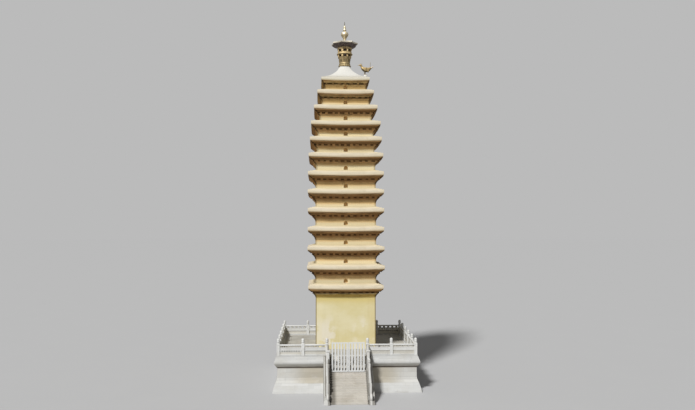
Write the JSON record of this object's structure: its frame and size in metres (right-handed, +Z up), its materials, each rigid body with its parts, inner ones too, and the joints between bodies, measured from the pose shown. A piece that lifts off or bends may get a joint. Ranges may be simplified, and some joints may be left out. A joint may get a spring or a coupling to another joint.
{
  "type": "pagoda",
  "caption": "Square close-eaved brick pagoda with stacked stepped eaves and metal finial, on a railed stone platform with a gated front stair",
  "frame": {"origin": "on the tower's vertical axis, at ground level", "axes": "+Z up along the tower; -Y is the front, down the stair; +X is to the right as seen from the front"},
  "size_m": [13.4, 17.7, 35.4715],
  "materials": {
    "white_stone": "weathered pale marble",
    "paving": "worn paving",
    "yellow_plaster": "matt lime plaster, patchy",
    "cream_washed_brick": "brick with a worn pale wash",
    "lime_wash": "matt lime wash",
    "bronze": "weathered bronze",
    "dark_bronze": "blackened bronze",
    "gilt_copper": "worn gilding",
    "white_painted_steel": "white gloss paint, dulled",
    "hinge_iron": "bare iron"
  },
  "bodies": {
    "root": {"platform_plinth": "white_stone", "platform_waist": "white_stone", "platform_cornice": "white_stone", "platform_floor": "paving", "balustrade_back": "white_stone", "balustrade_left": "white_stone", "balustrade_right": "white_stone", "balustrade_front_left": "white_stone", "balustrade_front_right": "white_stone", "stair_flight": "white_stone", "stair_curb_left": "white_stone", "stair_curb_right": "white_stone", "stair_rail_upper_left": "white_stone", "stair_rail_upper_right": "white_stone", "stair_rail_lower_left": "white_stone", "stair_rail_lower_right": "white_stone", "drum_stone_left": "white_stone", "drum_stone_right": "white_stone", "gate_post_left": "white_stone", "gate_post_right": "white_stone", "gate_hanger_left": "hinge_iron", "gate_hanger_right": "hinge_iron", "storey_01_wall": "yellow_plaster", "storey_01_eave": "cream_washed_brick", "storey_02": "cream_washed_brick", "storey_03": "cream_washed_brick", "storey_04": "cream_washed_brick", "storey_05": "cream_washed_brick", "storey_06": "cream_washed_brick", "storey_07": "cream_washed_brick", "storey_08": "cream_washed_brick", "storey_09": "cream_washed_brick", "storey_10": "cream_washed_brick", "storey_11": "cream_washed_brick", "storey_12": "cream_washed_brick", "storey_13": "cream_washed_brick", "roof_cap": "lime_wash", "finial_base": "bronze", "finial_drum": "bronze", "finial_canopy": "dark_bronze", "finial_spire": "bronze", "corner_bird": "gilt_copper"},
    "gate_left": {"gate_leaf_left": "white_painted_steel"},
    "gate_right": {"gate_leaf_right": "white_painted_steel"}
  },
  "joints": [
    {"name": "gate_left_swing", "type": "hinge", "parent": "root", "child": "gate_left", "pos_m": [-1.5, -8.08, 3.5], "axis": [0, 0, -1], "range_deg": [0, 90]},
    {"name": "gate_right_swing", "type": "hinge", "parent": "root", "child": "gate_right", "pos_m": [1.5, -8.08, 3.5], "axis": [0, 0, 1], "range_deg": [0, 90]}
  ]
}
